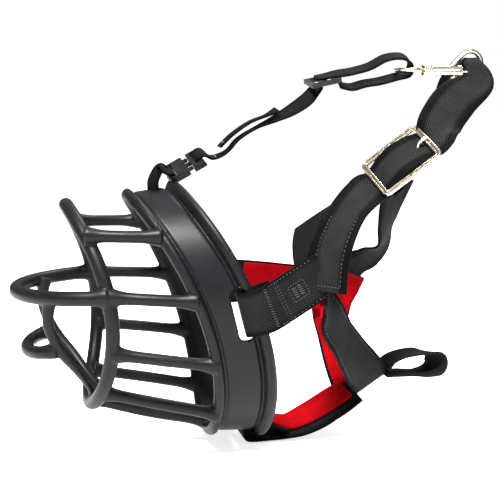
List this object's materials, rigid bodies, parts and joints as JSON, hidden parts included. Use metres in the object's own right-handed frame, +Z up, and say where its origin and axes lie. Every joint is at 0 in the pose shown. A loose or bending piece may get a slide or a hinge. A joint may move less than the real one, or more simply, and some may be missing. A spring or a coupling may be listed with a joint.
{
  "type": "basket muzzle",
  "caption": "Moulded dog basket muzzle with cheek, neck, throat and chin webbing, neck buckle and a clip-on over-head strap ending in a snap hook.",
  "frame": {"origin": "centre of the opening that takes the dog's snout, inside the rim band", "axes": "-Y towards the nose, +X the dog's left, +Z up towards the top of the head"},
  "size_m": [0.1405, 0.2808, 0.2283],
  "materials": {
    "moulding": "soft black thermoplastic rubber, satin",
    "webbing": "black woven nylon webbing",
    "lining": "red felted lining",
    "nickel": "bright nickel plate",
    "acetal": "black moulded acetal",
    "spring_wire": "drawn spring steel"
  },
  "bodies": {
    "harness": {"rim_band": "moulding", "front_hoop": "moulding", "nose_ring": "moulding", "lower_front_ring": "moulding", "front_bar_left": "moulding", "front_bar_right": "moulding", "side_bars_left": "moulding", "side_bars_right": "moulding", "lower_centre_bar": "moulding", "cheek_strap_left": "webbing", "cheek_strap_right": "webbing", "cheek_lining_left": "lining", "cheek_lining_right": "lining", "neck_strap_left": "webbing", "neck_strap_right": "webbing", "neck_pad_left": "webbing", "neck_pad_right": "webbing", "neck_lining_left": "lining", "neck_lining_right": "lining", "throat_strap_left": "webbing", "throat_strap_right": "webbing", "throat_lining_left": "lining", "throat_lining_right": "lining", "chin_strap": "webbing", "chin_lining": "lining", "collar_loop": "webbing", "buckle_frame": "nickel", "anchor_loop": "webbing", "clip_housing": "acetal", "clip_body": "acetal", "head_strap": "webbing", "head_strap_tail": "webbing", "strap_slider": "acetal", "end_loop": "webbing", "snap_eye": "nickel"},
    "prong": {"buckle_prong": "nickel"},
    "hook": {"snap_body": "nickel", "snap_spring": "spring_wire"},
    "bolt": {"snap_bolt": "nickel"},
    "clip_arm_left": {"clip_arm_left": "acetal"},
    "clip_arm_right": {"clip_arm_right": "acetal"}
  },
  "joints": [
    {"name": "prong_hinge", "type": "hinge", "parent": "harness", "child": "prong", "pos_m": [0.04131, 0.09484, 0.08912], "axis": [0.8522, 0.1968, -0.4848], "range_deg": [0, 12]},
    {"name": "hook_swivel", "type": "hinge", "parent": "harness", "child": "hook", "pos_m": [0, 0.12, 0.141], "axis": [0, 1, 0], "range_deg": [-15, 15]},
    {"name": "bolt_slide", "type": "slide", "parent": "hook", "child": "bolt", "axis": [0, -1, 0], "range_m": [0, 0.006], "stiffness_N_per_m": 150, "springref_m": -0.002, "deforming": ["snap_spring"]},
    {"name": "clip_arm_left_flex", "type": "hinge", "parent": "harness", "child": "clip_arm_left", "pos_m": [0.00502, -0.01788, 0.08525], "axis": [0.4833, -0.4191, 0.7686], "range_deg": [-5, 0], "stiffness_Nm_per_rad": 0.05},
    {"name": "clip_arm_right_flex", "type": "hinge", "parent": "harness", "child": "clip_arm_right", "pos_m": [-0.00304, -0.02004, 0.08914], "axis": [0.4833, -0.4191, 0.7686], "range_deg": [0, 5], "stiffness_Nm_per_rad": 0.05}
  ]
}
